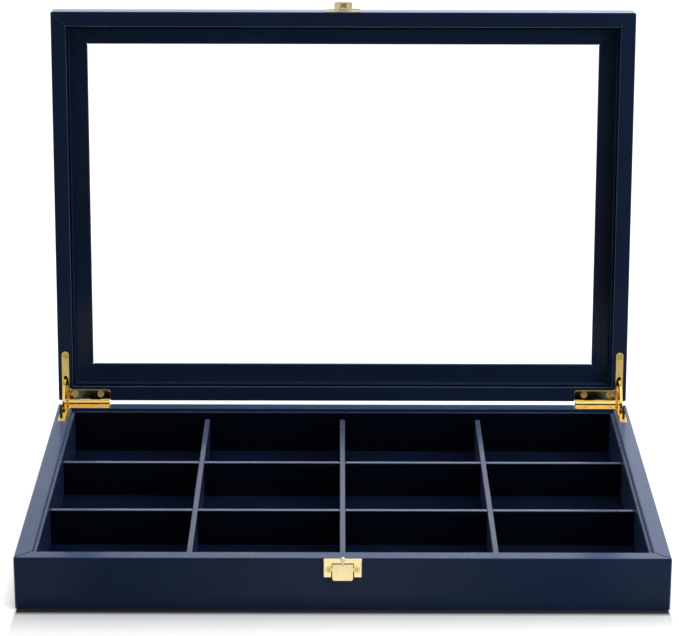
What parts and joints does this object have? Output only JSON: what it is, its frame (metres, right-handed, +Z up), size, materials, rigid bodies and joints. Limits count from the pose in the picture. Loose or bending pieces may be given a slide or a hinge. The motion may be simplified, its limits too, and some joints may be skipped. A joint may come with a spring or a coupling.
{
  "type": "jewelry display tray",
  "caption": "Leatherette-wrapped display tray with divided compartments under a glass-windowed lid, on brass stay hinges with a sprung front latch.",
  "frame": {"origin": "middle of the underside, on the felt the tray stands on", "axes": "+X along the width to the right as seen from the latch side, +Y from the latch side to the hinges at the back, +Z up; the lid is stored open at 95 degrees"},
  "size_m": [0.35, 0.2814, 0.2763],
  "materials": {
    "navy_leatherette": "smooth fine-grained coated leatherette with a low sheen",
    "greyboard": "raw pressed board, out of sight",
    "felt": "thin short-fibre felt",
    "suede_lining": "flat napped suede cloth",
    "navy_liner": "board strip wrapped in smooth leatherette",
    "clear_glass": "clear float glass with polished edges",
    "polished_brass": "polished and lacquered",
    "brass_screw": "bright brass-plated screw",
    "spring_steel": "bright tempered strip"
  },
  "bodies": {
    "base": {"base_front_board": "greyboard", "base_front_cover": "navy_leatherette", "liner_front": "navy_liner", "base_back_board": "greyboard", "base_back_cover": "navy_leatherette", "liner_back": "navy_liner", "base_left_board": "greyboard", "base_left_cover": "navy_leatherette", "liner_left": "navy_liner", "base_right_board": "greyboard", "base_right_cover": "navy_leatherette", "liner_right": "navy_liner", "underside_felt": "felt", "bottom_board": "greyboard", "floor_lining": "suede_lining", "long_divider_left": "navy_liner", "long_divider_centre": "navy_liner", "long_divider_right": "navy_liner", "cross_divider_front": "navy_liner", "cross_divider_back": "navy_liner", "base_hinge_leaf_left": "polished_brass", "hinge_pin_left": "polished_brass", "base_hinge_leaf_right": "polished_brass", "hinge_pin_right": "polished_brass", "base_hinge_screws": "brass_screw", "latch_plate": "polished_brass", "latch_pin": "polished_brass", "latch_spring": "spring_steel", "latch_screws": "brass_screw"},
    "lid": {"lid_front_rail": "greyboard", "lid_front_cover": "navy_leatherette", "glass_retainer_front": "navy_liner", "lid_back_rail": "greyboard", "lid_back_cover": "navy_leatherette", "glass_retainer_back": "navy_liner", "lid_left_rail": "greyboard", "lid_left_cover": "navy_leatherette", "glass_retainer_left": "navy_liner", "lid_right_rail": "greyboard", "lid_right_cover": "navy_leatherette", "glass_retainer_right": "navy_liner", "lid_glass": "clear_glass", "lid_hinge_leaf_left": "polished_brass", "lid_hinge_leaf_right": "polished_brass", "lid_hinge_screws": "brass_screw", "latch_keeper": "polished_brass", "keeper_screws": "brass_screw"},
    "latch_lever": {"latch_lever": "polished_brass"},
    "stay_arm_left": {"stay_arm_left": "polished_brass"},
    "stay_arm_right": {"stay_arm_right": "polished_brass"}
  },
  "joints": [
    {"name": "lid_hinge", "type": "hinge", "parent": "base", "child": "lid", "pos_m": [0, 0.1212, 0.03015], "axis": [1, 0, 0], "range_deg": [0, 95]},
    {"name": "stay_arm_left_swing", "type": "hinge", "parent": "base", "child": "stay_arm_left", "pos_m": [0, 0.1212, 0.03015], "axis": [1, 0, 0], "range_deg": [0, 55.1]},
    {"name": "stay_arm_right_swing", "type": "hinge", "parent": "base", "child": "stay_arm_right", "pos_m": [0, 0.1212, 0.03015], "axis": [1, 0, 0], "range_deg": [0, 55.1]},
    {"name": "latch_lever_press", "type": "hinge", "parent": "base", "child": "latch_lever", "pos_m": [0, -0.1191, 0.0264], "axis": [1, 0, 0], "range_deg": [0, 8], "stiffness_Nm_per_rad": 0.15, "deforming": ["latch_spring"]}
  ],
  "couplings": [
    {"joint": "stay_arm_left_swing", "follows": "lid_hinge", "ratio": 0.58},
    {"joint": "stay_arm_right_swing", "follows": "lid_hinge", "ratio": 0.58}
  ]
}
